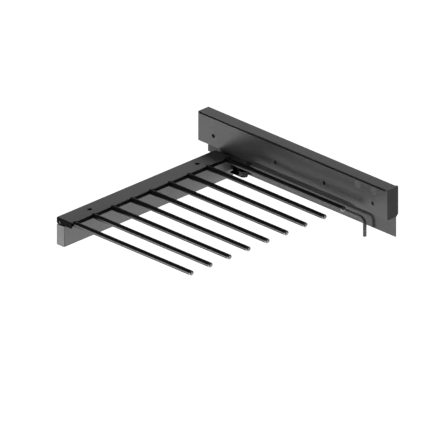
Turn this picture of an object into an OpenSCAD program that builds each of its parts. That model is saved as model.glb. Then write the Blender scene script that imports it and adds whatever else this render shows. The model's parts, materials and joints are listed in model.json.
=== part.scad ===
// Pull-out trouser rack for the side panel of a wardrobe.
// A closed rail housing is screwed to the panel. A trolley runs inside it on two load rollers and
// carries a cross tube with nine cantilevered rods; a guide roller below steadies it on the plate.
//
// Frame: X = 0 is the panel's face and the rack stands out towards -X. -Y is the pull-out
// direction. Z = 0 is the line of the fixing holes. Two running coordinates are used throughout:
// u is the distance from the housing's rear end towards the front, v is the distance from the panel.

/* [Rail housing] */
// Overall length of the housing with both end caps
rail_len = 500; // [460:10:600]
// Height of the housing box
box_h = 60; // [56:1:70]
// Depth of the housing box from the panel
box_d = 27; // [27:1:34]
// Height of the box top above the fixing holes
box_top = 38.5; // [38:0.5:44]
// Wall of the cover profile
cover_t = 1.8; // [1.4:0.1:2.2]
// Width of the return lip under the box
lip_w = 6; // [3:0.5:7]
// Height of the shadow groove under the top edge
groove_h = 2.8; // [2:0.2:3.2]
// Depth of the shadow groove
groove_d = 3.5; // [2:0.5:4]
// How far the top sheet's edge stands back from the face, above the groove
groove_setback = 2; // [0:0.5:2]
// Thickness of the front end cap
front_cap_t = 5.5; // [4:0.5:8]
// Thickness of the rear end cap
rear_cap_t = 2.5; // [2:0.5:4]
// How far the front end cap stands proud of the cover's face
cap_proud = 1.8; // [0.6:0.2:2.4]
// How far the front end cap rises above the cover
cap_rise = 1.5; // [0.5:0.5:2]
// Depth to which the end caps' ribs reach into the cover
cap_rib_len = 7; // [4:1:8]

/* [Back plate] */
// Sheet thickness of the back plate
plate_t = 2; // [1.5:0.1:2.5]
// How far the plate hangs below the box
plate_drop = 44.3; // [43:0.1:60]
// Gap between the housing's rear end and the plate
plate_inset = 6; // [4:1:10]

/* [Fixing holes] */
// Screw hole in the back plate
fix_hole_d = 5.2; // [4.2:0.1:6.2]
// Access hole in the cover, for the screwdriver
access_hole_d = 8; // [7:0.5:10]
// Outer fixing holes, from each end of the housing
fix_outer_inset = 40; // [36:1:44]
// Foremost inner fixing hole, from the front end
fix_inner_inset = 168; // [150:2:180]
// Spacing of the two inner fixing holes
fix_inner_pitch = 128; // [96:32:160]

/* [Track and load rollers] */
// Wall of the C-shaped track
track_wall = 2; // [1.5:0.1:2.5]
// Height of the track's underside above the fixing holes
track_lift = 5.5; // [5.5:0.1:6.5]
// Height of each lip at the track's mouth
track_lip = 3; // [2:0.5:4]
// Diameter of the load rollers
load_roller_d = 20.4; // [18:0.2:20.8]
// Width of the load rollers
load_roller_w = 6.5; // [5:0.5:7]
// Diameter of the load rollers' axles
axle_d = 6; // [5:0.5:7]

/* [Trolley] */
// Travel of the trolley from closed to fully pulled out
travel = 360; // [340:2:362]
// Length of the hanger plate along the rail
hanger_len = 106; // [100:2:110]
// Sheet thickness of the hanger
hanger_t = 2.5; // [2:0.5:3]
// Distance of the closed hanger from the housing's rear end
hanger_rear = 16; // [14:1:18]
// Outer face of the trolley block, from the panel
block_out = 23; // [22:0.5:24]
// Thickness of the saddle lugs on both sides of the tube
lug_t = 6; // [4:0.5:8]
// Depth of the saddle lugs below the block
lug_h = 24; // [22:1:28]

/* [Guide roller] */
// Diameter of the guide roller
guide_roller_d = 18; // [16:1:22]
// Width of the guide roller
guide_roller_w = 9; // [7:0.2:11]
// Diameter of the guide roller's pin
guide_pin_d = 6; // [4:0.5:7]
// Distance of the guide roller in front of the tube's rear face
guide_ahead = 54; // [52:0.5:64]
// Sheet thickness of the arm that carries the guide roller
arm_t = 2.5; // [2:0.5:3]

/* [Cross tube] */
// Distance of the closed tube from the housing's rear end
tube_rear = 50; // [46:0.5:56]
// Width of the tube along the rail
tube_w = 20; // [19:0.5:22]
// Height of the tube
tube_h = 42; // [38:1:44]
// Wall of the tube
tube_wall = 1.2; // [1:0.1:1.5]
// Gap between the tube's inner end and the panel
tube_wall_gap = 5; // [4:0.5:6.5]

/* [Rod carrier] */
// Width of the carrier along the rail
carrier_w = 39; // [37:1:44]
// Distance of the carrier's inner end from the panel
carrier_in = 31.5; // [31:0.5:38]
// Gap between the box's underside and the carrier's top
carrier_drop = 2.1; // [1.5:0.1:6]
// Sheet thickness of the carrier's cover sheet
sheet_t = 1; // [0.8:0.1:1.2]
// Height of the moulded rod holder
holder_h = 11; // [10.5:0.5:13]
// Height of the washers between the rod holder and the tube
standoff_h = 2; // [1.5:0.5:3]
// Distance of the carrier's two screws from the second rod and the last but one
carrier_screw_offset = 8.5; // [8:0.5:20]

/* [Rods] */
// Diameter of the rods
rod_d = 10; // [9:0.5:11]
// Spacing of the rods
rod_pitch = 50; // [44:1:56]
// Free length of the rods in front of the carrier
rod_reach = 309; // [250:5:340]
// Distance of the first and last rod from the carrier's ends
rod_end_margin = 9; // [8:0.5:12]
// Diameter of the turned root that sits in the holder
spigot_d = 5.6; // [4:0.2:5.8]

/* [Pull handle] */
// Diameter of the handle wire
wire_d = 7; // [5:0.5:8]
// Distance of the wire from the panel
wire_out = 16.4; // [16:0.2:18]
// Reach of the wire in front of the tube
wire_reach = 358; // [300:1:380]
// Length of the bent-down grip below the wire
grip_drop = 35.6; // [28:0.2:60]
// Radius of the wire's bend along its centre line
bend_r = 12; // [9:0.5:20]

/* [Hidden] */
$fn = 48;

// Named clearances
run_fit = 0.05;      // radial play of a roller on its axle
bolt_fit = 0.05;     // radial play of a fastener in its hole
roll_gap = 0.3;      // play between a roller and the face it runs on
side_gap = 0.3;      // play beside a roller
lip_gap = 0.4;       // play between a load roller and the track's lips
stop_gap = 0.3;      // play at the end stops
seat_gap = 0.2;      // play round a piece that sits in a recess
plug_fit = 0.05;     // play round the tube cap's plug
cut = 1;             // how far a cutting shape runs past the face it cuts

// Housing heights, measured from the line of the fixing holes
groove_drop = 0.8;
box_bottom = box_top - box_h;
cover_under = box_top - cover_t;
groove_bottom = box_top - groove_drop - groove_h;
plate_bottom = box_bottom - plate_drop;
edge_r = 0.8;
front_cap_r = 2;
access_collar = 2.4;
access_rim = 1;
cap_chamfer = 7;
cap_rib_t = 1.6;
cap_rib_gap = 1;

// Housing stations along the rail
cover_u0 = rear_cap_t;
cover_u1 = rail_len - front_cap_t;
fix_u = [fix_outer_inset, rail_len - fix_inner_inset - fix_inner_pitch,
    rail_len - fix_inner_inset, rail_len - fix_outer_inset];

// Track section
track_end_gap = 10.5;
track_lip_t = 1.5;
axle_head_t = 1.2;
axle_head_r = 6;
track_back = plate_t + track_wall;
roller_v0 = track_back + 2 * side_gap + axle_head_t;
roller_v1 = roller_v0 + load_roller_w;
track_mouth = roller_v1 + lip_gap;
track_out = track_mouth + track_lip_t;
track_bore_h = load_roller_d + 2 * roll_gap;
track_h = track_bore_h + 2 * track_wall;
track_top = track_lift + track_h;
roller_z = track_lift + track_h / 2;
track_u0 = plate_inset + 4;
track_u1 = cover_u1 - track_end_gap;

// Rivets between track and plate
rivet_r = 1.6;
rivet_head_r = 2.8;
rivet_head_t = 1.2;
rivet_count = 5;
rivet_end = 60;
rivet_u = [for (i = [0 : rivet_count - 1])
    rivet_end + i * (rail_len - 2 * rivet_end) / (rivet_count - 1)];

// Brackets that hold the cover, above and outside the track
bracket_t = 1.5;
bracket_len = 62;
bracket_inset = 28;
bracket_leg_h = 20;
leg_v1 = box_d - cover_t;
leg_v0 = leg_v1 - bracket_t;
button_drop = 12.5;
button_z = box_top - button_drop;
button_tail = 1;
button_r = 8;
button_head_t = 1;
button_shank_r = 3;
button_pitch = 42;
button_inset = 38;
button_u = [button_inset, button_inset + button_pitch, rail_len - button_inset - button_pitch,
    rail_len - button_inset];

bracket_rivet_end = 10;
bracket_rivet_u = [bracket_inset + bracket_rivet_end,
    bracket_inset + bracket_len - bracket_rivet_end,
    rail_len - bracket_inset - bracket_len + bracket_rivet_end,
    rail_len - bracket_inset - bracket_rivet_end];
bracket_rivet_out = 7;
bracket_rivet_v = plate_t + bracket_rivet_out;

// Trolley: the hanger and its nuts stand half way between the track's mouth and the brackets' legs
nut_t = 3;
nut_r = 5.5;
thread_tail = 0.6;
hanger_front = hanger_rear + hanger_len;
hanger_play = (leg_v0 - track_out - hanger_t - nut_t - thread_tail) / 2;
hanger_v0 = track_out + hanger_play;
hanger_v1 = hanger_v0 + hanger_t;
hanger_head = 8.5;
hanger_flange_inset = 6;
roller_end = 11;
roller_u = [hanger_rear + roller_end, hanger_front - roller_end];
roller_rim = 2.4;
roller_hub = 1.8;
roller_recess = 1.5;
spacer_wall = 1.5;
block_gap = 2.5;
block_drop = 1;
block_v0 = plate_t + block_gap;
block_top = box_bottom - block_drop;
driver_hole_r = 5;
socket_r = 2;
socket_floor = 1;
hanger_screw_r = 2.5;
hanger_screw_v = (block_v0 + hanger_v0) / 2;
hanger_screw_head_r = 4.2;
hanger_screw_head_t = 2.6;
hanger_screw_len = 12;
hanger_screw_inset = 14;
hanger_screw_u = [hanger_rear + hanger_screw_inset, hanger_front - hanger_screw_inset];

// Rubber buffers at both ends of the travel
buffer_gap = 0.4;
buffer_stem_r = 2.5;
buffer_stem = 1.6;
rib_v0 = box_d - cover_t - cap_rib_t;
buffer_v = hanger_v0 + hanger_t / 2;
buffer_r = rib_v0 - buffer_gap - buffer_v;

// Rod carrier and tube heights follow from the box's underside
carrier_top = box_bottom - carrier_drop;
holder_top = carrier_top - sheet_t;
holder_bottom = holder_top - holder_h;
tube_top = holder_bottom - standoff_h;
tube_bottom = tube_top - tube_h;
tube_front = tube_rear + tube_w;
tube_r = 0.8;
tube_inner_r = 0.3;
block_tail = 30;
block_rear = tube_rear - block_tail;
block_r = 3;

// Rod carrier plan
rod_count = 9;
carrier_rear = tube_rear;
carrier_front = carrier_rear + carrier_w;
carrier_len = (rod_count - 1) * rod_pitch + 2 * rod_end_margin;
carrier_end = carrier_in + carrier_len;
end_cap_t = 1.2;
end_cap_r = 1;
sheet_v0 = carrier_in + end_cap_t;
sheet_v1 = carrier_end - end_cap_t;
sheet_front_lip = 1.2;
sheet_back_lift = 1;
notch_gap = 0.1;
tube_cap_t = 2;
tube_cap_plug = 12;
tube_cap_wall = 1.8;
tube_end = carrier_end - tube_cap_t;
holder_setback = 2.2;
holder_front = carrier_front - holder_setback;
holder_rear = carrier_rear + sheet_t;
holder_slope_start = 3;
holder_slope_u = tube_front + holder_slope_start;
holder_slope_rise = 2.2;
spigot_roof = 0.6;
spigot_len = 20;
rod_z = holder_top - spigot_roof - spigot_d / 2;
rod_v = [for (i = [0 : rod_count - 1]) carrier_in + rod_end_margin + i * rod_pitch];
tip_len = 4;
tip_stem_r = 2;
tip_stem_len = 6;
tip_rim = 2;
tip_seat = 0.5;
rod_end = carrier_front + rod_reach - tip_len;
carrier_screw_u = carrier_rear + carrier_w / 2;
carrier_screw_v = [rod_v[1] + carrier_screw_offset,
    rod_v[rod_count - 2] - carrier_screw_offset];
carrier_screw_r = 2;
carrier_screw_head_r = 4.5;
carrier_screw_head_t = 1.6;
carrier_screw_rise = 0.3;
carrier_socket = 0.8;
carrier_screw_len = 9;
tube_screw_u = tube_rear + tube_w / 2;
tube_screw_inset = 40;
tube_screw_v = [carrier_in + tube_screw_inset, carrier_in + carrier_len / 2,
    carrier_end - tube_screw_inset];
tube_screw_r = 2;
tube_screw_head_r = 4;
tube_screw_head_t = 2.8;
tube_screw_grip = 8;
tube_access_r = 5;
standoff_r = 6;
end_screw_inset = 9;
end_screw_lift = 3.8;
end_screw_u = carrier_rear + end_screw_inset;
end_screw_z = holder_bottom + end_screw_lift;
end_screw_r = 1.4;
end_screw_head_r = 2.2;
end_screw_head_t = 1;
end_screw_len = 9;

// Cross bolts through the saddle lugs and the tube, half way between the tube's inner end and the
// lugs' outer edge
cross_bolt_r = 2;
cross_bolt_drop = [8.4, 18.4];
lug_play = 0.1;
lug_front = tube_front + lug_play + lug_t;
lug_rear = tube_rear - lug_play - lug_t;
wire_gap = 1;
lug_v1 = wire_out - wire_d / 2 - wire_gap;
cross_bolt_v = (tube_wall_gap + lug_v1) / 2;
bolt_head_t = 3;
bolt_head_r = 3.5;
cross_nut_r = 4;

// Guide roller, running on the lower part of the plate
guide_u = tube_rear + guide_ahead;
guide_v = plate_t + roll_gap + guide_roller_d / 2;
arm_below = 0.2;
arm_bottom = plate_bottom - arm_below;
arm_top = arm_bottom + arm_t;
guide_z0 = arm_top + side_gap;
guide_z1 = guide_z0 + guide_roller_w;
arm_rim = 1;
arm_r = guide_roller_d / 2 - arm_rim;
arm_flange_drop = 3.4;
arm_flange_top = tube_top - arm_flange_drop;
guide_rim = 3;
guide_recess = 1.6;
guide_recess_r = guide_roller_d / 2 - guide_rim;
guide_pin_collar = 1.8;
guide_pin_head_r = guide_pin_d / 2 + guide_pin_collar;
guide_pin_foot = 1;

// Handle wire
wire_drop = 4.4;
wire_z = tube_top - wire_d / 2 - wire_drop;
wire_tail = 1.2;
grip_u = tube_front + wire_reach;

function y_at(u) = rail_len / 2 - u;

// A section drawn in (-v, z) and run along the rail from u0 to u1
module along_rail(u0, u1) {
    translate([0, y_at(u0), 0]) rotate([90, 0, 0]) linear_extrude(u1 - u0) children();
}

// A section drawn in (y, z) and run out from the panel from v0 to v1
module along_bar(v0, v1) {
    translate([-v1, 0, 0]) rotate([90, 0, 90]) linear_extrude(v1 - v0) children();
}

module block(u0, u1, v0, v1, z0, z1) {
    translate([-v1, y_at(u1), z0]) cube([v1 - v0, u1 - u0, z1 - z0]);
}

module pin_x(v0, v1, u, z, r) {
    translate([-v1, y_at(u), z]) rotate([0, 90, 0]) cylinder(h = v1 - v0, r = r);
}

module pin_y(u0, u1, v, z, r) {
    translate([-v, y_at(u0), z]) rotate([90, 0, 0]) cylinder(h = u1 - u0, r = r);
}

module pin_z(z0, z1, u, v, r) {
    translate([-v, y_at(u), z0]) cylinder(h = z1 - z0, r = r);
}

// Hexagon prism for nuts and sockets, along the rail or out from the panel
module hex_y(u0, u1, v, z, r) {
    translate([-v, y_at(u0), z]) rotate([90, 0, 0]) cylinder(h = u1 - u0, r = r, $fn = 6);
}

module hex_x(v0, v1, u, z, r) {
    translate([-v1, y_at(u), z]) rotate([0, 90, 0]) cylinder(h = v1 - v0, r = r, $fn = 6);
}

module rounded_rect(x0, x1, y0, y1, r) {
    translate([x0 + r, y0]) square([x1 - x0 - 2 * r, y1 - y0]);
    translate([x0, y0 + r]) square([x1 - x0, y1 - y0 - 2 * r]);
    for (x = [x0 + r, x1 - r], y = [y0 + r, y1 - r]) translate([x, y]) circle(r);
}

// Back plate: screwed to the panel, its lower part is the guide roller's runway
module back_plate() {
    color("dimgray") difference() {
        block(plate_inset, cover_u1, 0, plate_t, plate_bottom, cover_under);
        for (u = fix_u) pin_x(-cut, plate_t + cut, u, 0, fix_hole_d / 2);
        for (u = rivet_u) track_rivet(u, bolt_fit);
    }
}

// Cover: an extruded profile with a shadow groove and a return lip
module cover_outline() {
    rounded_rect(-box_d, -box_d + 4 * edge_r, box_bottom, box_top, edge_r);
    translate([-box_d + 2 * edge_r, box_bottom]) square([box_d - 2 * edge_r, box_h]);
}

module cover_section() {
    difference() {
        cover_outline();
        difference() {
            translate([-box_d + cover_t, box_bottom + cover_t])
                square([box_d + cut, cover_under - box_bottom - cover_t]);
            translate([-box_d, groove_bottom - cover_t])
                square([groove_d + cover_t, box_top - groove_bottom + cover_t]);
        }
        translate([-box_d - cut, groove_bottom]) square([groove_d + cut, groove_h]);
        translate([-box_d - cut, groove_bottom])
            square([groove_setback + cut, box_top - groove_bottom + cut]);
        translate([-box_d + lip_w, box_bottom - cut]) square([box_d, cover_t + 2 * cut]);
    }
}

module cover() {
    color([0.33, 0.33, 0.34]) difference() {
        union() {
            along_rail(cover_u0, cover_u1) cover_section();
            for (u = fix_u)
                pin_x(leg_v1 - access_collar, box_d - cover_t / 2, u, 0,
                    access_hole_d / 2 + access_rim);
        }
        for (u = fix_u)
            pin_x(leg_v1 - access_collar - cut, box_d + cut, u, 0, access_hole_d / 2);
        for (u = button_u) {
            pin_x(box_d - button_head_t, box_d + cut, u, button_z, button_r + bolt_fit);
            pin_x(leg_v1 - cut, box_d, u, button_z, button_shank_r + bolt_fit);
        }
    }
}

// End caps: a flat moulded plate with two ribs that grip inside the cover
module cap_corner() {
    translate([0, box_bottom]) rotate(45) square(cap_chamfer, center = true);
}

// The front cap stands proud of the cover's face and top
module front_cap_outline() {
    difference() {
        union() {
            rounded_rect(-box_d - cap_proud, -box_d + 4 * front_cap_r, box_bottom,
                box_top + cap_rise, front_cap_r);
            translate([-box_d + 2 * front_cap_r, box_bottom])
                square([box_d - 2 * front_cap_r, box_h + cap_rise]);
        }
        cap_corner();
    }
}

module cap_ribs(u0, u1) {
    block(u0, u1, rib_v0, box_d - cover_t, box_bottom + cover_t + cap_rib_gap,
        groove_bottom - cover_t - cap_rib_gap);
    block(u0, u1, plate_t + cap_rib_gap, box_d - groove_d - cover_t - cap_rib_gap,
        cover_under - cap_rib_t, cover_under);
}

module front_end_cap() {
    color([0.12, 0.12, 0.12]) difference() {
        union() {
            along_rail(cover_u1, rail_len) front_cap_outline();
            cap_ribs(cover_u1 - cap_rib_len, cover_u1);
        }
        pin_y(cover_u1 - cut, cover_u1 + buffer_stem, buffer_v, roller_z,
            buffer_stem_r + bolt_fit);
    }
}

module rear_end_cap() {
    color([0.12, 0.12, 0.12]) difference() {
        union() {
            along_rail(0, rear_cap_t) difference() {
                cover_outline();
                cap_corner();
            }
            cap_ribs(rear_cap_t, rear_cap_t + cap_rib_len);
        }
        pin_y(rear_cap_t - buffer_stem, rear_cap_t + cut, buffer_v, roller_z,
            buffer_stem_r + bolt_fit);
    }
}

// Track: a C profile, open towards the room, in which the load rollers run
module track_section() {
    difference() {
        translate([-track_out, track_lift]) square([track_out - plate_t, track_h]);
        translate([-track_mouth, track_lift + track_wall])
            square([track_mouth - track_back, track_bore_h]);
        translate([-track_out - cut, track_lift + track_wall + track_lip])
            square([track_out - track_back + cut, track_bore_h - 2 * track_lip]);
    }
}

module track() {
    color("silver") difference() {
        along_rail(track_u0, track_u1) track_section();
        for (u = rivet_u) track_rivet(u, bolt_fit);
        for (u = bracket_rivet_u) bracket_rivet(u, bolt_fit);
    }
}

// Rivets between track and plate, flush on both faces so that the rollers and the panel clear them
module track_rivet(u, grow) {
    pin_x(0, track_back, u, roller_z, rivet_r + grow);
    translate([-track_back, y_at(u), roller_z]) rotate([0, 90, 0])
        cylinder(h = rivet_head_t, r1 = rivet_head_r + grow, r2 = rivet_r + grow);
    translate([-rivet_head_t, y_at(u), roller_z]) rotate([0, 90, 0])
        cylinder(h = rivet_head_t, r1 = rivet_r + grow, r2 = rivet_head_r + grow);
}

module track_rivets() {
    color("lightgray") for (u = rivet_u) track_rivet(u, 0);
}

// Cover bracket: folded sheet on top of the track, its leg behind the cover's face
module cover_bracket(u0) {
    difference() {
        union() {
            block(u0, u0 + bracket_len, plate_t, leg_v1, track_top, track_top + bracket_t);
            block(u0, u0 + bracket_len, leg_v0, leg_v1,
                track_top + bracket_t - bracket_leg_h, track_top + bracket_t);
        }
        for (u = button_u)
            pin_x(leg_v0 - cut, leg_v1 + cut, u, button_z, button_shank_r + bolt_fit);
        for (u = bracket_rivet_u) bracket_rivet(u, bolt_fit);
    }
}

module cover_bracket_front() {
    color("silver") cover_bracket(rail_len - bracket_inset - bracket_len);
}

module cover_bracket_rear() {
    color("silver") cover_bracket(bracket_inset);
}

module bracket_rivet(u, grow) {
    pin_z(track_top - track_wall, track_top + bracket_t, u, bracket_rivet_v, rivet_r + grow);
    translate([-bracket_rivet_v, y_at(u), track_top - track_wall])
        cylinder(h = rivet_head_t, r1 = rivet_head_r + grow, r2 = rivet_r + grow);
}

module bracket_rivets() {
    color("lightgray") for (u = bracket_rivet_u) {
        bracket_rivet(u, 0);
        pin_z(track_top + bracket_t, track_top + bracket_t + rivet_head_t, u, bracket_rivet_v,
            rivet_head_r);
    }
}

// Buttons: flush round plugs that hold the cover on the brackets' legs
module cover_buttons() {
    color([0.36, 0.36, 0.37]) for (u = button_u) {
        pin_x(box_d - button_head_t, box_d, u, button_z, button_r);
        pin_x(leg_v0 - button_tail, box_d - button_head_t, u, button_z, button_shank_r);
    }
}

// Rubber buffers, plugged into the end caps, stop the hanger at both ends of its travel
module front_buffer() {
    color([0.08, 0.08, 0.08]) {
        pin_y(hanger_front + travel + stop_gap, cover_u1, buffer_v, roller_z, buffer_r);
        pin_y(cover_u1, cover_u1 + buffer_stem, buffer_v, roller_z, buffer_stem_r);
    }
}

module rear_buffer() {
    color([0.08, 0.08, 0.08]) {
        pin_y(rear_cap_t, hanger_rear - stop_gap, buffer_v, roller_z, buffer_r);
        pin_y(rear_cap_t - buffer_stem, rear_cap_t, buffer_v, roller_z, buffer_stem_r);
    }
}

// Hanger: a folded plate that leaves the box through the slot beside the lip
module trolley_hanger() {
    color("silver") difference() {
        union() {
            block(hanger_rear, hanger_front, hanger_v0, hanger_v1, block_top - hanger_t,
                roller_z + hanger_head);
            block(hanger_rear + hanger_flange_inset, hanger_front - hanger_flange_inset, block_v0,
                hanger_v1, block_top - hanger_t, block_top);
        }
        for (u = roller_u)
            pin_x(hanger_v0 - cut, hanger_v1 + cut, u, roller_z, axle_d / 2 + bolt_fit);
        pin_x(hanger_v0 - cut, hanger_v1 + cut, fix_u[0], 0, driver_hole_r);
        for (u = hanger_screw_u)
            pin_z(block_top - hanger_t - cut, block_top + cut, u, hanger_screw_v,
                hanger_screw_r + bolt_fit);
    }
}

// Block: moulded body under the hanger, with two lugs that straddle the tube
module trolley_block() {
    color([0.14, 0.14, 0.14]) difference() {
        union() {
            translate([0, 0, tube_top]) linear_extrude(block_top - tube_top)
                rounded_rect(-block_out, -block_v0, y_at(hanger_front), y_at(block_rear), block_r);
            block(tube_front + lug_play, lug_front, block_v0, lug_v1, tube_top - lug_h,
                tube_top + cut);
            block(lug_rear, tube_rear - lug_play, block_v0, lug_v1, tube_top - lug_h,
                tube_top + cut);
        }
        block(hanger_rear - cut, hanger_front + cut, block_v0 - cut, hanger_v1 + seat_gap,
            block_top - hanger_t, block_top + cut);
        for (u = hanger_screw_u)
            pin_z(block_top - hanger_screw_len - cut, block_top, u, hanger_screw_v,
                hanger_screw_r + bolt_fit);
        for (drop = cross_bolt_drop)
            pin_y(lug_rear - cut, lug_front + cut, cross_bolt_v, tube_top - drop,
                cross_bolt_r + bolt_fit);
    }
}

module hanger_screws() {
    color("gray") for (u = hanger_screw_u) {
        pin_z(block_top - hanger_screw_len, block_top, u, hanger_screw_v, hanger_screw_r);
        difference() {
            pin_z(block_top, block_top + hanger_screw_head_t, u, hanger_screw_v,
                hanger_screw_head_r);
            translate([-hanger_screw_v, y_at(u), block_top + socket_floor])
                cylinder(h = hanger_screw_head_t, r = socket_r, $fn = 6);
        }
    }
}

// Axles: headed studs with a shoulder that keeps the rollers off the hanger
module load_axles() {
    color("lightgray") for (u = roller_u) {
        pin_x(track_back + side_gap, track_back + side_gap + axle_head_t, u, roller_z,
            axle_head_r);
        pin_x(track_back + side_gap, hanger_v1 + nut_t + thread_tail, u, roller_z, axle_d / 2);
        pin_x(roller_v1 + side_gap, hanger_v0, u, roller_z, axle_d / 2 + spacer_wall);
    }
}

module axle_nuts() {
    color("gray") for (u = roller_u) difference() {
        hex_x(hanger_v1, hanger_v1 + nut_t, u, roller_z, nut_r);
        pin_x(hanger_v1 - cut, hanger_v1 + nut_t + cut, u, roller_z, axle_d / 2 + bolt_fit);
    }
}

// Load roller: a moulded tyre with a hub recess on its outer face
module load_roller(u) {
    difference() {
        pin_x(roller_v0, roller_v1, u, roller_z, load_roller_d / 2);
        pin_x(roller_v0 - cut, roller_v1 + cut, u, roller_z, axle_d / 2 + run_fit);
        difference() {
            pin_x(roller_v1 - roller_recess, roller_v1 + cut, u, roller_z,
                load_roller_d / 2 - roller_rim);
            pin_x(roller_v1 - roller_recess - cut, roller_v1 + 2 * cut, u, roller_z,
                axle_d / 2 + roller_hub);
        }
    }
}

module load_roller_front() {
    color("ivory") load_roller(roller_u[1]);
}

module load_roller_rear() {
    color("ivory") load_roller(roller_u[0]);
}

// Guide arm: angle bolted in front of the saddle, its round end carries the guide roller
module guide_arm() {
    color([0.1, 0.1, 0.1]) difference() {
        union() {
            block(lug_front, lug_front + arm_t, block_v0, lug_v1, arm_bottom, arm_flange_top);
            block(lug_front, guide_u, guide_v - arm_r, guide_v + arm_r, arm_bottom, arm_top);
            pin_z(arm_bottom, arm_top, guide_u, guide_v, arm_r);
        }
        for (drop = cross_bolt_drop)
            pin_y(lug_front - cut, lug_front + arm_t + cut, cross_bolt_v, tube_top - drop,
                cross_bolt_r + bolt_fit);
        pin_z(arm_bottom - cut, arm_top + cut, guide_u, guide_v, guide_pin_d / 2 + bolt_fit);
    }
}

module guide_pin() {
    color([0.2, 0.2, 0.2]) {
        pin_z(arm_bottom, guide_z1 - guide_recess + side_gap, guide_u, guide_v, guide_pin_d / 2);
        pin_z(guide_z1 - guide_recess + side_gap, guide_z1 + thread_tail, guide_u, guide_v,
            guide_pin_head_r);
        pin_z(arm_bottom - guide_pin_foot, arm_bottom, guide_u, guide_v, guide_pin_head_r);
    }
}

module guide_roller() {
    color([0.35, 0.35, 0.35]) difference() {
        pin_z(guide_z0, guide_z1, guide_u, guide_v, guide_roller_d / 2);
        pin_z(guide_z0 - cut, guide_z1 + cut, guide_u, guide_v, guide_pin_d / 2 + run_fit);
        pin_z(guide_z1 - guide_recess, guide_z1 + cut, guide_u, guide_v, guide_recess_r);
    }
}

// Cross bolts hold the tube in the saddle and the guide arm against it
module crossbar_bolts() {
    color("gray") for (drop = cross_bolt_drop) {
        pin_y(lug_rear - nut_t - thread_tail, lug_front + arm_t, cross_bolt_v, tube_top - drop,
            cross_bolt_r);
        difference() {
            pin_y(lug_front + arm_t, lug_front + arm_t + bolt_head_t, cross_bolt_v,
                tube_top - drop, bolt_head_r);
            hex_y(lug_front + arm_t + socket_floor, lug_front + arm_t + bolt_head_t + cut,
                cross_bolt_v, tube_top - drop, socket_r);
        }
    }
}

module crossbar_nuts() {
    color("gray") for (drop = cross_bolt_drop) difference() {
        hex_y(lug_rear - nut_t, lug_rear, cross_bolt_v, tube_top - drop, cross_nut_r);
        pin_y(lug_rear - nut_t - cut, lug_rear + cut, cross_bolt_v, tube_top - drop,
            cross_bolt_r + bolt_fit);
    }
}

module tube_outline(inset) {
    rounded_rect(y_at(tube_front) + inset, y_at(tube_rear) - inset, tube_bottom + inset,
        tube_top - inset, max(tube_r - inset, tube_inner_r));
}

module crossbar_tube() {
    color([0.5, 0.5, 0.51]) difference() {
        along_bar(tube_wall_gap, tube_end) tube_outline(0);
        along_bar(tube_wall_gap - cut, tube_end + cut) tube_outline(tube_wall);
        for (drop = cross_bolt_drop)
            pin_y(tube_rear - cut, tube_front + cut, cross_bolt_v, tube_top - drop,
                cross_bolt_r + bolt_fit);
        for (v = tube_screw_v) {
            pin_z(tube_top - tube_wall - cut, tube_top + cut, tube_screw_u, v,
                tube_screw_r + bolt_fit);
            pin_z(tube_bottom - cut, tube_bottom + tube_wall + cut, tube_screw_u, v,
                tube_access_r);
        }
        pin_y(tube_rear - cut, tube_front + cut, wire_out, wire_z, wire_d / 2 + bolt_fit);
    }
}

module tube_end_cap() {
    color([0.55, 0.55, 0.56]) {
        along_bar(tube_end, carrier_end) tube_outline(0);
        along_bar(tube_end - tube_cap_plug, tube_end) difference() {
            tube_outline(tube_wall + plug_fit);
            tube_outline(tube_wall + tube_cap_wall);
        }
    }
}

// Cover sheet of the rod carrier: folded, with a notch over each rod's root
module carrier_sheet() {
    rod_half = sqrt(pow(rod_d / 2, 2) - pow(rod_z - holder_top, 2));
    notch = 2 * (rod_half + side_gap);
    color([0.33, 0.33, 0.34]) difference() {
        union() {
            block(carrier_rear, carrier_front, sheet_v0, sheet_v1, holder_top, carrier_top);
            block(carrier_rear, holder_rear, sheet_v0, sheet_v1, holder_bottom + sheet_back_lift,
                carrier_top);
            block(carrier_front - sheet_t, carrier_front, sheet_v0, sheet_v1,
                carrier_top - sheet_front_lip, carrier_top);
        }
        for (v = rod_v)
            block(holder_front - notch_gap, carrier_front + cut, v - notch / 2, v + notch / 2,
                holder_top - cut, carrier_top + cut);
        for (v = rod_v)
            pin_y(holder_front - notch_gap, carrier_front + cut, v, rod_z, rod_d / 2 + notch_gap);
        for (v = carrier_screw_v)
            pin_z(holder_top - cut, carrier_top + cut, carrier_screw_u, v,
                carrier_screw_head_r + side_gap);
    }
}

// Rod holder: moulded bar, blind holes for the rods' roots, its underside rises to the front
module rod_holder() {
    color([0.1, 0.1, 0.1]) difference() {
        along_bar(sheet_v0, sheet_v1) polygon([
            [y_at(holder_rear), holder_bottom],
            [y_at(holder_slope_u), holder_bottom],
            [y_at(holder_front), holder_bottom + holder_slope_rise],
            [y_at(holder_front), holder_top],
            [y_at(holder_rear), holder_top]]);
        for (v = rod_v)
            pin_y(holder_front - spigot_len, holder_front + cut, v, rod_z,
                spigot_d / 2 + bolt_fit);
        for (v = carrier_screw_v) {
            pin_z(holder_top - carrier_screw_len, holder_top + cut, carrier_screw_u, v,
                carrier_screw_r + bolt_fit);
            pin_z(holder_top - carrier_screw_head_t, holder_top + cut, carrier_screw_u, v,
                carrier_screw_head_r + side_gap);
        }
        for (v = tube_screw_v)
            pin_z(holder_bottom - cut, holder_bottom + tube_screw_grip, tube_screw_u, v,
                tube_screw_r + bolt_fit);
        for (side = [[sheet_v0 - cut, sheet_v0 + end_screw_len],
                [sheet_v1 - end_screw_len, sheet_v1 + cut]])
            pin_x(side[0], side[1], end_screw_u, end_screw_z, end_screw_r + bolt_fit);
    }
}

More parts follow.
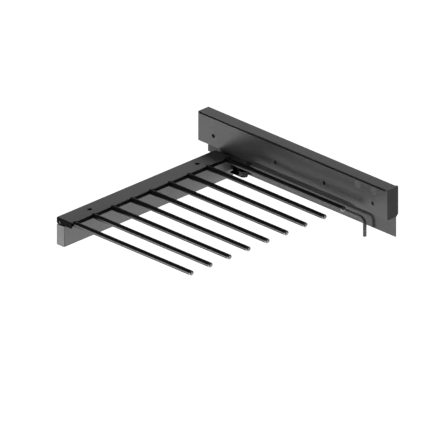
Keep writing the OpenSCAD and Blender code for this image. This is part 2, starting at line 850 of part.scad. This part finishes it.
module carrier_end_cap(v0) {
    difference() {
        along_bar(v0, v0 + end_cap_t) rounded_rect(y_at(carrier_front), y_at(carrier_rear),
            holder_bottom, carrier_top, end_cap_r);
        pin_x(v0 - cut, v0 + end_cap_t + cut, end_screw_u, end_screw_z, end_screw_r + bolt_fit);
    }
}

module carrier_end_cap_outer() {
    color([0.1, 0.1, 0.1]) carrier_end_cap(sheet_v1);
}

module carrier_end_cap_inner() {
    color([0.1, 0.1, 0.1]) carrier_end_cap(carrier_in);
}

module carrier_end_screws() {
    color("lightgray") {
        pin_x(sheet_v1 - end_screw_len, carrier_end, end_screw_u, end_screw_z, end_screw_r);
        pin_x(carrier_end, carrier_end + end_screw_head_t, end_screw_u, end_screw_z, end_screw_head_r);
        pin_x(carrier_in, sheet_v0 + end_screw_len, end_screw_u, end_screw_z, end_screw_r);
        pin_x(carrier_in - end_screw_head_t, carrier_in, end_screw_u, end_screw_z, end_screw_head_r);
    }
}

// Carrier screws: sunk in the sheet, they hold it on the rod holder
module carrier_screws() {
    color([0.08, 0.08, 0.08]) for (v = carrier_screw_v) {
        pin_z(holder_top - carrier_screw_len, holder_top - carrier_screw_head_t,
            carrier_screw_u, v, carrier_screw_r);
        difference() {
            pin_z(holder_top - carrier_screw_head_t, holder_top + carrier_screw_rise,
                carrier_screw_u, v, carrier_screw_head_r);
            translate([-v, y_at(carrier_screw_u), holder_top - carrier_socket])
                cylinder(h = carrier_socket + cut, r = socket_r, $fn = 6);
        }
    }
}

// Standoffs: washers that keep the holder clear of the tube
module standoffs() {
    color("lightgray") for (v = tube_screw_v) difference() {
        pin_z(tube_top, holder_bottom, tube_screw_u, v, standoff_r);
        pin_z(tube_top - cut, holder_bottom + cut, tube_screw_u, v, tube_screw_r + bolt_fit);
    }
}

// Tube screws: driven through the access holes below, from inside the tube up into the holder
module tube_screws() {
    under = tube_top - tube_wall;
    color("gray") for (v = tube_screw_v) {
        pin_z(under, holder_bottom + tube_screw_grip, tube_screw_u, v, tube_screw_r);
        difference() {
            pin_z(under - tube_screw_head_t, under, tube_screw_u, v, tube_screw_head_r);
            translate([-v, y_at(tube_screw_u), under - tube_screw_head_t - cut])
                cylinder(h = tube_screw_head_t - socket_floor + cut, r = socket_r, $fn = 6);
        }
    }
}

// Rods: round bar with a turned root in the holder and a blind hole for the tip's stem
module rod(i) {
    color([0.06, 0.06, 0.06]) difference() {
        union() {
            pin_y(holder_front, rod_end, rod_v[i], rod_z, rod_d / 2);
            pin_y(holder_front - spigot_len, holder_front, rod_v[i], rod_z, spigot_d / 2);
        }
        pin_y(rod_end - tip_stem_len - tip_seat, rod_end + cut, rod_v[i], rod_z,
            tip_stem_r + bolt_fit);
    }
}

// Tips: turned caps with a rounded rim, pressed into the rods' ends
module rod_tips() {
    color([0.6, 0.6, 0.6]) for (v = rod_v) translate([-v, y_at(rod_end), rod_z])
        rotate([90, 0, 0]) rotate_extrude() {
            translate([0, -tip_stem_len]) square([tip_stem_r, tip_stem_len]);
            square([rod_d / 2 - tip_rim, tip_len]);
            square([rod_d / 2, tip_len - tip_rim]);
            intersection() {
                translate([rod_d / 2 - tip_rim, tip_len - tip_rim]) circle(tip_rim);
                translate([0, 0]) square([rod_d / 2, tip_len]);
            }
        }
}

// Handle: round wire through the tube's walls, bent down to a grip at the front
module handle_wire() {
    color([0.2, 0.2, 0.2]) {
        pin_y(tube_rear - wire_tail, grip_u - bend_r, wire_out, wire_z, wire_d / 2);
        translate([-wire_out, y_at(grip_u - bend_r), wire_z - bend_r]) rotate([90, 0, -90])
            rotate_extrude(angle = 90) translate([bend_r, 0]) circle(wire_d / 2);
        pin_z(wire_z - grip_drop, wire_z - bend_r, grip_u, wire_out, wire_d / 2);
    }
}

back_plate();
cover();
front_end_cap();
rear_end_cap();
track();
track_rivets();
cover_bracket_front();
cover_bracket_rear();
bracket_rivets();
cover_buttons();
front_buffer();
rear_buffer();
trolley_hanger();
trolley_block();
hanger_screws();
load_axles();
axle_nuts();
load_roller_front();
load_roller_rear();
guide_arm();
guide_pin();
guide_roller();
crossbar_bolts();
crossbar_nuts();
crossbar_tube();
tube_end_cap();
carrier_sheet();
rod_holder();
carrier_end_cap_outer();
carrier_end_cap_inner();
carrier_end_screws();
carrier_screws();
standoffs();
tube_screws();
rod(0);  // rod_1
rod(1);  // rod_2
rod(2);  // rod_3
rod(3);  // rod_4
rod(4);  // rod_5
rod(5);  // rod_6
rod(6);  // rod_7
rod(7);  // rod_8
rod(8);  // rod_9
rod_tips();
handle_wire();
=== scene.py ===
# Looks for the pull-out trouser rack: a procedural finish for every material slot, floor,
# studio light and the camera at the photograph's angle. Every visible piece is its CAD node.
import json
import math

import bpy
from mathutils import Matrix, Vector


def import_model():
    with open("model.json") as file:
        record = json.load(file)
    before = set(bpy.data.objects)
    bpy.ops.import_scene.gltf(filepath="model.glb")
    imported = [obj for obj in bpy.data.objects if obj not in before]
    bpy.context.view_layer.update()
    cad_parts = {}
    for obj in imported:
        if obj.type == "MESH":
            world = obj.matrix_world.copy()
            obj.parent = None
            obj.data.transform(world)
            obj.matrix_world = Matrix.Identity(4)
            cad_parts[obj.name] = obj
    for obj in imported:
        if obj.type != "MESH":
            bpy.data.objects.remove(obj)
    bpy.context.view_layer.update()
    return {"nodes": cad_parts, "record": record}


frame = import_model()
scene = bpy.context.scene
scene.view_settings.view_transform = "Standard"

# the band that holds most of a noise's values
NOISE_LOW, NOISE_HIGH = 0.3, 0.7
EVEN = (1, 1, 1)

# places in the part's frame, in metres: the height of the rods, and a line between the two
# pairs of buttons and the housing's middle, on both sides of it
ROD_AXIS_Z = -0.028
BUTTON_Y = 0.15

CAMERA_AZIMUTH, CAMERA_ELEVATION = 45, 25
CAMERA_AIM = Vector((-0.2392, -0.0039, -0.0197))
CAMERA_DISTANCE = 3.0
CAMERA_CLIP = (0.05, 200.0)
VIEW_WIDTH = 0.797

FLOOR_HALF, FLOOR_Z = 60.0, -2.4
FLOOR_TONE, FLOOR_GLOW = 0.8, 0.86
AMBIENT = 0.09
LIT_CENTRE = Vector((-0.22, 0.0, -0.02))


# ---- shader helpers
def add(tree, kind, inputs=None, **props):
    """A new node with its properties set and its inputs linked or set."""
    n = tree.nodes.new(kind)
    for k, v in props.items():
        setattr(n, k, v)
    for k, v in (inputs or {}).items():
        plug(tree, n.inputs[k], v)
    return n


def plug(tree, socket, value):
    if isinstance(value, bpy.types.NodeSocket):
        tree.links.new(value, socket)
    else:
        socket.default_value = value


def placed(tree, stretch):
    """Coordinates in the part's own frame, so that a pattern stays with its piece."""
    where = add(tree, "ShaderNodeTexCoord").outputs["Object"]
    return add(tree, "ShaderNodeMapping", {"Vector": where, "Scale": stretch}).outputs[0]


def along(tree, coordinate, axis):
    """One axis of a coordinate: Object for the place, Normal for the way a face looks."""
    where = add(tree, "ShaderNodeTexCoord").outputs[coordinate]
    return add(tree, "ShaderNodeSeparateXYZ", {"Vector": where}).outputs[axis]


def noise(tree, scale, detail=2.0, stretch=EVEN, rough=0.5, distortion=0.0):
    """Noise between 0 and 1. scale counts grains per metre."""
    return add(tree, "ShaderNodeTexNoise", {
        "Vector": placed(tree, stretch), "Scale": scale, "Detail": detail,
        "Roughness": rough, "Distortion": distortion}).outputs["Fac"]


def cells(tree, scale):
    return add(tree, "ShaderNodeTexVoronoi", {"Vector": placed(tree, EVEN), "Scale": scale},
               feature="SMOOTH_F1").outputs["Distance"]


def spread(tree, value, low, high, to_low, to_high, smooth=False):
    return add(tree, "ShaderNodeMapRange", {
        "Value": value, "From Min": low, "From Max": high, "To Min": to_low, "To Max": to_high},
        interpolation_type="SMOOTHSTEP" if smooth else "LINEAR").outputs["Result"]


def levels(tree, value, to_low, to_high):
    """A noise's usual band spread over a new range."""
    return spread(tree, value, NOISE_LOW, NOISE_HIGH, to_low, to_high)


def maths(tree, operation, a, b=0.0, clamp=False):
    return add(tree, "ShaderNodeMath", {0: a, 1: b}, operation=operation,
               use_clamp=clamp).outputs[0]


def mix(tree, factor, a, b):
    """Two colours mixed. By number: a Mix node's colour sockets share names with the float ones."""
    return add(tree, "ShaderNodeMix", {0: factor, 6: a, 7: b}, data_type="RGBA").outputs[2]


def grey(tone, warm=0.0):
    return (tone * (1 + warm), tone, tone * (1 - warm), 1)


def shades(tree, factor, tone, swing, warm=0.0):
    """One tone, darker by swing where factor is 0 and lighter by swing where it is 1."""
    return mix(tree, factor, grey(tone * (1 - swing), warm), grey(tone * (1 + swing), warm))


class Finish:
    """One material on a Principled shader, with a softly rounded edge and a mask of its edges."""

    def __init__(self, name, edge):
        self.mat = bpy.data.materials.new(name)
        self.mat.use_nodes = True
        self.t = self.mat.node_tree
        self.t.nodes.clear()
        out = add(self.t, "ShaderNodeOutputMaterial")
        self.bsdf = add(self.t, "ShaderNodeBsdfPrincipled")
        self.t.links.new(self.bsdf.outputs[0], out.inputs["Surface"])
        self.bevel = add(self.t, "ShaderNodeBevel", {"Radius": edge}, samples=6).outputs[0]
        flat = add(self.t, "ShaderNodeNewGeometry").outputs["Normal"]
        dot = add(self.t, "ShaderNodeVectorMath", {0: self.bevel, 1: flat},
                  operation="DOT_PRODUCT").outputs["Value"]
        self.edge = spread(self.t, dot, 0.995, 0.86, 0.0, 1.0)

    def put(self, name, value):
        plug(self.t, self.bsdf.inputs[name], value)

    def worn(self, share, colour, rubbed):
        """The colour, mixed with the rubbed one on the edges."""
        return mix(self.t, maths(self.t, "MULTIPLY", self.edge, share), colour, rubbed)

    def bump(self, *layers):
        """layers are (height, strength, distance in metres)"""
        normal = self.bevel
        for height, strength, distance in layers:
            normal = add(self.t, "ShaderNodeBump", {
                "Height": height, "Strength": strength, "Distance": distance,
                "Normal": normal}).outputs[0]
        self.put("Normal", normal)

    def moulded_skin(self, grain, depth=0.18, distance=0.00012):
        """The eroded grain of a mould, over the slow sink of its walls."""
        self.bump((cells(self.t, grain), depth, distance),
                  (noise(self.t, 900, 2), 0.08, 0.0002))


# ---- finishes. Tones are linear greys, edge is the radius of the rounding in metres
def powder_coat(name, tone, worn, gloss=0.58, level=0.07):
    """Satin powder coat: a fine orange peel, faint clouds, and edges rubbed a little lighter."""
    f = Finish(name, edge=0.0006)
    t = f.t
    speck = noise(t, 3200, 2)
    tint = shades(t, levels(t, noise(t, 22, 3, rough=0.6), 0, 1), tone, 0.06)
    tint = mix(t, spread(t, speck, 0.35, 0.65, 0, 0.5), tint, grey(tone * 0.86))
    patches = spread(t, noise(t, 160, 4), 0.42, 0.66, 0.15, 0.85, smooth=True)
    f.put("Base Color", f.worn(patches, tint, grey(worn)))
    f.put("Roughness", levels(t, noise(t, 700, 3), gloss - 0.05, gloss + 0.07))
    f.put("Specular IOR Level", level)
    f.bump((noise(t, 620, 2), 0.10, 0.0004), (speck, 0.12, 0.00012))
    return f.mat


def flow_marks(t):
    """Slow clouds, drawn out as the plastic flowed into its mould."""
    return levels(t, noise(t, 35, 3, (1, 0.4, 1), 0.55, 0.6), 0, 1)


def moulded(name, tone, gloss, level, grain, warm=0.0, worn=1.35, edge=0.0004):
    """Moulded plastic: eroded grain, faint flow clouds and slightly polished edges."""
    f = Finish(name, edge)
    t = f.t
    tint = shades(t, flow_marks(t), tone, 0.1, warm)
    f.put("Base Color", f.worn(0.7, tint, grey(tone * worn, warm)))
    base = levels(t, noise(t, 420, 3), gloss - 0.06, gloss + 0.08)
    polish = maths(t, "MULTIPLY", f.edge, 0.12)
    f.put("Roughness", maths(t, "SUBTRACT", base, polish, clamp=True))
    f.put("Specular IOR Level", level)
    f.moulded_skin(grain)
    return f.mat


def flush_button(name, rear_tone, front_painted_sheen_tone, gloss=0.58, level=0.07):
    """Moulded button flush in the housing's face, with a painted sheen lighter on the front pair,
    and a dull rim.
    """
    f = Finish(name, edge=0.0009)
    t = f.t
    # painted sheen: the buttons are painted lighter towards the front pair, in place of a
    # reflection
    painted_sheen_towards_front = spread(t, along(t, "Object", "Y"), BUTTON_Y, -BUTTON_Y, 0, 1)
    tone = mix(t, painted_sheen_towards_front, grey(rear_tone), grey(front_painted_sheen_tone))
    tone = mix(t, levels(t, noise(t, 60, 3), 0, 0.12), tone, grey(rear_tone * 0.8))
    f.put("Base Color", f.worn(0.5, tone, grey(rear_tone * 0.7)))
    f.put("Roughness", levels(t, noise(t, 420, 3), gloss - 0.06, gloss + 0.08))
    f.put("Specular IOR Level", level)
    f.moulded_skin(3400)
    return f.mat


def cap_with_painted_light_rim(name, end_tone, painted_light_rim_tone, gloss=0.6, level=0.07):
    """Moulded end cap: its own dark plastic on the end face, and painted light on the rim, chosen
    by which way a face looks.
    """
    f = Finish(name, edge=0.0006)
    t = f.t
    # painted light: faces that do not look along the cap get the housing's lighter tone in place of
    # the light a rounded rim catches
    end_on = maths(t, "ABSOLUTE", along(t, "Normal", "Y"))
    flow = flow_marks(t)
    end = shades(t, flow, end_tone, 0.08)
    rim = f.worn(0.6, shades(t, flow, painted_light_rim_tone, 0.05), grey(painted_light_rim_tone * 1.35))
    f.put("Base Color", mix(t, spread(t, end_on, 0.6, 0.8, 0, 1, smooth=True), rim, end))
    f.put("Roughness", levels(t, noise(t, 420, 3), gloss - 0.06, gloss + 0.08))
    f.put("Specular IOR Level", level)
    f.moulded_skin(2600)
    return f.mat


def tip_with_painted_reflection(name, upper, lower, gloss=0.3, level=0.6):
    """Moulded rod tip: black like the rod above its axis, and a pale painted reflection below it.
    """
    f = Finish(name, edge=0.0004)
    t = f.t
    # painted reflection: the tip is painted pale below the rod's axis, with a wavering edge, in
    # place of light reflected from below
    drift = levels(t, noise(t, 240, 2), -0.0004, 0.0004)
    height = maths(t, "ADD", along(t, "Object", "Z"), drift)
    below = spread(t, height, ROD_AXIS_Z + 0.0005, ROD_AXIS_Z - 0.0025, 0, 1, smooth=True)
    flow = levels(t, noise(t, 300, 3), 0, 1)
    f.put("Base Color", mix(t, below, shades(t, flow, upper, 0.2), shades(t, flow, lower, 0.07)))
    f.put("Roughness", levels(t, noise(t, 420, 3), gloss - 0.04, gloss + 0.08))
    f.put("Specular IOR Level", level)
    f.moulded_skin(3800, depth=0.12, distance=0.0001)
    return f.mat


def metal(name, tone, gloss, lines=900, drawn=EVEN, warm=0.0, patina=0.12):
    """Bare or plated metal with drawing lines, a mottled plating and rubbed edges."""
    f = Finish(name, edge=0.0004)
    t = f.t
    streak = noise(t, lines, 3, drawn)
    mottle = noise(t, 130, 4, rough=0.62)
    tint = mix(t, levels(t, mottle, 0, 1), grey(tone * (1 - patina), warm),
               grey(tone * (1 + patina * 0.5), warm * 0.4))
    tint = mix(t, spread(t, streak, 0.4, 0.7, 0, 0.25), tint, grey(tone * 0.75, warm))
    f.put("Base Color", f.worn(0.6, tint, grey(tone * 1.25)))
    f.put("Metallic", 1.0)
    both = maths(t, "ADD", streak, mottle)
    f.put("Roughness", spread(t, both, 0.7, 1.3, gloss - 0.06, gloss + 0.1))
    f.bump((streak, 0.12, 0.00006), (noise(t, 700, 2), 0.05, 0.0002))
    return f.mat


def coated_rod(name, tone, gloss=0.3, level=0.2):
    """Gloss coating on a drawn bar: fine lines along it, a few rubbed spots and a soft ripple."""
    f = Finish(name, edge=0.0003)
    t = f.t
    rubbed = noise(t, 60, 5, (1, 0.25, 1), 0.65)
    spots = spread(t, rubbed, 0.55, 0.72, 0, 0.6, smooth=True)
    f.put("Base Color", f.worn(0.5, mix(t, spots, grey(tone), grey(tone * 1.8)), grey(tone * 3)))
    f.put("Roughness", spread(t, rubbed, 0.35, 0.7, gloss - 0.03, gloss + 0.08))
    f.put("Specular IOR Level", level)
    f.bump((noise(t, 2400, 3, (1, 0.015, 1)), 0.05, 0.00005),
           (noise(t, 240, 2, (1, 0.3, 1)), 0.05, 0.0003))
    return f.mat


def rubber(name, tone):
    """Dull rubber with a little dust in its pores."""
    f = Finish(name, edge=0.0006)
    t = f.t
    dust = noise(t, 500, 4)
    f.put("Base Color", mix(t, spread(t, dust, 0.4, 0.7, 0, 0.5), grey(tone), grey(tone * 1.6)))
    f.put("Roughness", levels(t, dust, 0.72, 0.88))
    f.put("Specular IOR Level", 0.2)
    f.bump((cells(t, 1500), 0.25, 0.0002))
    return f.mat


# material slot: its maker and what the maker needs
FINISHES = {
    "housing_paint": (powder_coat, dict(tone=0.130, worn=0.19)),
    # the cap's end tone is its own plastic; its rim tone is painted light
    "cap_plastic": (cap_with_painted_light_rim, dict(end_tone=0.043, painted_light_rim_tone=0.130)),
    "track_aluminium": (metal, dict(tone=0.62, gloss=0.32, lines=2600, drawn=(1, 0.008, 1),
                                    patina=0.06)),
    "zinc_steel": (metal, dict(tone=0.55, gloss=0.3, warm=0.02, patina=0.16)),
    # the front buttons' lighter tone is a painted sheen
    "button_plastic": (flush_button, dict(rear_tone=0.131, front_painted_sheen_tone=0.195)),
    "buffer_rubber": (rubber, dict(tone=0.03)),
    "block_plastic": (moulded, dict(tone=0.05, gloss=0.6, level=0.1, grain=1900)),
    "roller_plastic": (moulded, dict(tone=0.72, gloss=0.42, level=0.4, grain=3800, warm=0.03,
                                     worn=1.1)),
    "guide_roller_plastic": (moulded, dict(tone=0.055, gloss=0.58, level=0.08, grain=3800)),
    "black_steel": (powder_coat, dict(tone=0.006, worn=0.02, gloss=0.6, level=0.03)),
    "tube_paint": (powder_coat, dict(tone=0.248, worn=0.34)),
    "tube_cap_plastic": (moulded, dict(tone=0.2, gloss=0.58, level=0.07, grain=3000, worn=0.45,
                                       edge=0.0011)),
    "carrier_paint": (powder_coat, dict(tone=0.130, worn=0.20)),
    "holder_plastic": (moulded, dict(tone=0.010, gloss=0.62, level=0.0, grain=2200)),
    "rod_gloss": (coated_rod, dict(tone=0.003)),
    # the tip's pale lower tone is a painted reflection
    "rod_tip_plastic": (tip_with_painted_reflection, dict(upper=0.006, lower=0.55)),
    "wire_paint": (coated_rod, dict(tone=0.14, gloss=0.58, level=0.07)),
    "screw_grey": (metal, dict(tone=0.07, gloss=0.7, patina=0.2)),
}

# node: a finish of its own, within its slot's kind
OWN_FINISHES = {
    "back_plate": (powder_coat, dict(tone=0.118, worn=0.17)),
}


def make_all(recipes):
    return {name: maker(name + "_finish", **values) for name, (maker, values) in recipes.items()}


made, own = make_all(FINISHES), make_all(OWN_FINISHES)
slot_of = {s["node"]: s["material_slot"] for s in frame["record"]["subparts"]}
for name, obj in frame["nodes"].items():
    for ms in obj.material_slots:
        ms.material = own.get(name) or made[slot_of[name]]


# ---- stage and light
def ray_kinds(tree):
    """Whether the camera sees the point itself, and whether it does so at all, mirrored or not."""
    path = add(tree, "ShaderNodeLightPath").outputs
    mirrored = maths(tree, "MAXIMUM", path["Is Glossy Ray"], path["Is Transmission Ray"])
    return path["Is Camera Ray"], maths(tree, "MAXIMUM", path["Is Camera Ray"], mirrored)


def floor():
    """A wide pale floor far below: white to the camera, clear from underneath."""
    half, z = FLOOR_HALF, FLOOR_Z
    mesh = bpy.data.meshes.new("floor")
    mesh.from_pydata([(-half, -half, z), (half, -half, z), (half, half, z), (-half, half, z)],
                     [], [(0, 1, 2, 3)])
    o = bpy.data.objects.new("floor", mesh)
    scene.collection.objects.link(o)
    m = bpy.data.materials.new("floor_pale")
    m.use_nodes = True
    t = m.node_tree
    t.nodes.clear()
    out = add(t, "ShaderNodeOutputMaterial")
    pale = add(t, "ShaderNodeBsdfDiffuse", {
        "Color": (FLOOR_TONE, FLOOR_TONE, FLOOR_TONE, 1), "Roughness": 0.6}).outputs[0]
    seen = ray_kinds(t)[1]
    glow = add(t, "ShaderNodeEmission", {
        "Color": (1, 1, 1, 1), "Strength": maths(t, "MULTIPLY", seen, FLOOR_GLOW)}).outputs[0]
    top = add(t, "ShaderNodeAddShader", {0: pale, 1: glow}).outputs[0]
    clear = add(t, "ShaderNodeBsdfTransparent").outputs[0]
    below = add(t, "ShaderNodeNewGeometry").outputs["Backfacing"]
    both = add(t, "ShaderNodeMixShader", {0: below, 1: top, 2: clear})
    t.links.new(both.outputs[0], out.inputs["Surface"])
    mesh.materials.append(m)


def world():
    """White behind the object, darker overhead in its reflections, and a faint even light."""
    w = bpy.data.worlds.new("studio")
    scene.world = w
    w.use_nodes = True
    t = w.node_tree
    t.nodes.clear()
    out = add(t, "ShaderNodeOutputWorld")
    direct, seen = ray_kinds(t)
    sky = spread(t, along(t, "Generated", "Z"), 0.02, 0.32, 1.0, 0.12, smooth=True)
    shown = maths(t, "MULTIPLY", seen, maths(t, "MAXIMUM", direct, sky))
    back = add(t, "ShaderNodeBackground", {
        "Color": (1, 1, 1, 1), "Strength": spread(t, shown, 0, 1, AMBIENT, 1.0)})
    t.links.new(back.outputs[0], out.inputs["Surface"])


def lamp(name, toward, distance, size, factor, glossy=True):
    """An area lamp that lights a matt face turned to it as factor times its own colour."""
    d = Vector(toward).normalized()
    light = bpy.data.lights.new(name, "AREA")
    light.shape = "DISK"
    light.size = size
    light.energy = factor * math.pi ** 2 * distance ** 2
    o = bpy.data.objects.new(name, light)
    scene.collection.objects.link(o)
    o.location = LIT_CENTRE + d * distance
    o.rotation_mode = "QUATERNION"
    o.rotation_quaternion = (-d).to_track_quat("-Z", "Y")
    o.visible_camera = False
    o.visible_glossy = glossy


floor()
world()
lamp("key_left", (-0.796, 0.51, -0.326), 4.0, 0.8, 0.45)
lamp("key_near", (-0.796, 0.51, -0.326), 1.6, 0.4, 0.23)
lamp("key_high", (-0.8, 0.52, -0.2), 4.0, 1.6, 0.15)
lamp("key_rear", (-0.66, 0.68, -0.32), 4.0, 1.6, 0.1)
lamp("fill_left", (-1.28, -0.8, -0.08), 1.51, 0.6, 0.09)
lamp("top_right", (0.62, 0.45, 0.62), 4.0, 2.0, 0.91, glossy=False)
lamp("front", (0.48, -0.86, -0.15), 4.0, 2.0, 0.54)


# ---- camera
def camera():
    """A parallel view from the photograph's angle."""
    az, el = math.radians(CAMERA_AZIMUTH), math.radians(CAMERA_ELEVATION)
    forward = Vector((math.sin(az) * math.cos(el), math.cos(az) * math.cos(el), -math.sin(el)))
    cam = bpy.data.cameras.new("camera")
    cam.type = "ORTHO"
    cam.ortho_scale = VIEW_WIDTH
    cam.clip_start, cam.clip_end = CAMERA_CLIP
    o = bpy.data.objects.new("camera", cam)
    scene.collection.objects.link(o)
    o.location = CAMERA_AIM - forward * CAMERA_DISTANCE
    o.rotation_mode = "QUATERNION"
    o.rotation_quaternion = forward.to_track_quat("-Z", "Y")
    scene.camera = o


camera()
